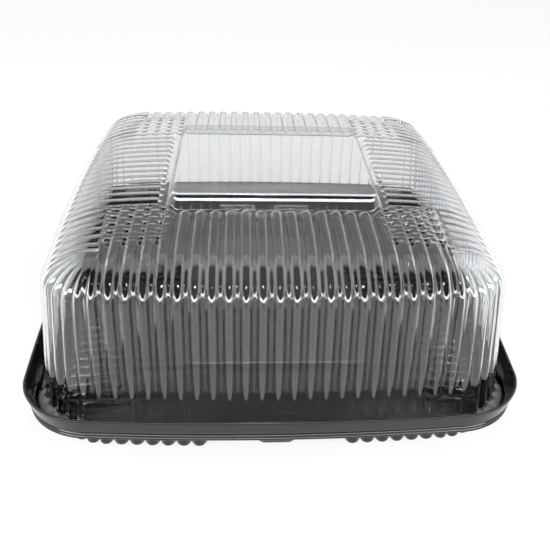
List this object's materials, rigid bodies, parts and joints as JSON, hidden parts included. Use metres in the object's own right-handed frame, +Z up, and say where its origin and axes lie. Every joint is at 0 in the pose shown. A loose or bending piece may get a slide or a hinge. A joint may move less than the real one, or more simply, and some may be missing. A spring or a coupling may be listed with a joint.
{
  "type": "cake container",
  "caption": "Rectangular cake container: a black fluted tray with a flared rim, under a clear fluted dome lid with a raised plain panel that lifts straight off.",
  "frame": {"origin": "on the surface that the tray stands on, under the middle of the tray", "axes": "+Z up, +Y along the longer side, +X along the shorter side; the pictured front faces -Y"},
  "size_m": [0.2854, 0.3152, 0.1154],
  "materials": {
    "black_plastic": "glossy black thermoformed PET sheet",
    "clear_plastic": "clear glossy thermoformed PET sheet"
  },
  "bodies": {
    "base": {"base_tray": "black_plastic"},
    "lid": {"dome_lid": "clear_plastic"}
  },
  "joints": [
    {"name": "lid_lift", "type": "slide", "parent": "base", "child": "lid", "axis": [0, 0, 1], "range_m": [0, 0.13]}
  ]
}
